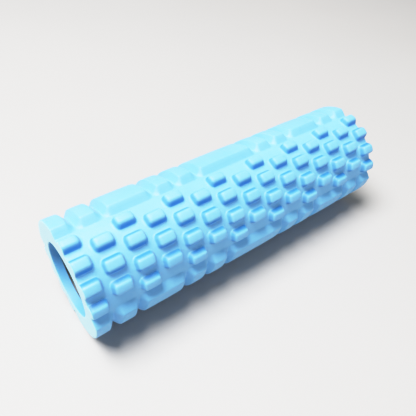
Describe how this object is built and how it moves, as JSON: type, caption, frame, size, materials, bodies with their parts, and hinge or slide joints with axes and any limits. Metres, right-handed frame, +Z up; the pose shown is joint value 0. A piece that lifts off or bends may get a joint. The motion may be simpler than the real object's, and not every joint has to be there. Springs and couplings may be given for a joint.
{
  "type": "foam roller",
  "caption": "Hollow massage foam roller: moulded foam sleeve with staggered nubs and long smooth blocks, on a stiff inner tube.",
  "frame": {"origin": "on the surface that the roller lies on, under the middle of the roller", "axes": "+X along the roller's axis, +Y away from the front, +Z up; the front nub zone faces -Y and up"},
  "size_m": [0.3, 0.0944, 0.0942],
  "materials": {
    "foam": "sky blue EVA foam with a fine matt moulded skin",
    "core": "dark grey extruded plastic, satin"
  },
  "bodies": {
    "root": {"foam_sleeve": "foam", "core_tube": "core"}
  },
  "joints": []
}
